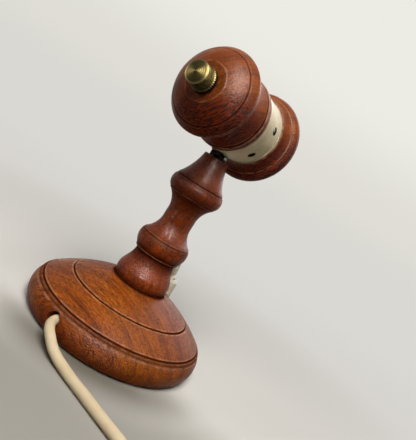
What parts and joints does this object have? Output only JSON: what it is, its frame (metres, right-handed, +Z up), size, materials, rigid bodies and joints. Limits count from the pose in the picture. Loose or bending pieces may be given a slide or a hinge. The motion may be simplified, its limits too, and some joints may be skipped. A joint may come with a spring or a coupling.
{
  "type": "table lamp",
  "caption": "Turned hardwood table lamp with a weighted round base, a toggle switch, a turned column and a spot head that swivels and tilts.",
  "frame": {"origin": "centre of the felt underside of the base", "axes": "+Z up along the column, +X the way the head points at rest, -X the side where the cord leaves"},
  "size_m": [0.1235, 0.2454, 0.1623],
  "materials": {
    "hardwood": "satin",
    "felt": "matte",
    "steel": "satin",
    "black_plastic": "matte",
    "black_metal": "satin",
    "fibre": "matte",
    "cream_plastic": "gloss",
    "cream_paint": "satin",
    "brass": "aged",
    "porcelain": "gloss",
    "bulb_glass": "frosted",
    "cord_plastic": "satin"
  },
  "bodies": {
    "stand": {"base": "hardwood", "base_felt": "felt", "ballast_plate": "steel", "plate_screws": "steel", "tube_nut": "steel", "tube_washer": "steel", "threaded_tube": "steel", "column": "hardwood", "cord_clamp": "black_plastic", "clamp_screws": "steel", "inner_leads": "cord_plastic", "switch_body": "black_plastic", "switch_bush": "steel", "switch_collar": "cream_plastic", "lever_pin": "steel", "friction_washer": "fibre", "snap_ring": "steel", "cord": "cord_plastic", "cord_coil": "cord_plastic", "coil_tie": "black_plastic", "plug_body": "cord_plastic", "plug_pins": "steel"},
    "neck": {"fork": "black_metal", "hinge_pin": "steel"},
    "head": {"tongue": "black_metal", "tongue_nut": "steel", "lamp_can": "cream_paint", "can_screws": "steel", "rear_dome": "hardwood", "front_ring": "hardwood", "nipple": "steel", "finial": "brass", "holder_cap": "black_plastic", "holder_insert": "porcelain", "holder_skirt": "black_plastic", "holder_contact": "brass", "bulb_cap": "steel", "bulb_glass": "bulb_glass"},
    "lever": {"switch_lever": "cream_plastic"}
  },
  "joints": [
    {"name": "head_swivel", "type": "hinge", "parent": "stand", "child": "neck", "pos_m": [0, 0, 0.1132], "axis": [0, 0, 1], "range_deg": [-170, 170]},
    {"name": "head_tilt", "type": "hinge", "parent": "neck", "child": "head", "pos_m": [0, 0, 0.11505], "axis": [0, 1, 0], "range_deg": [-22, 17]},
    {"name": "switch_toggle", "type": "hinge", "parent": "stand", "child": "lever", "pos_m": [0.029, 0, 0.0356], "axis": [0, 1, 0], "range_deg": [0, 20]}
  ]
}
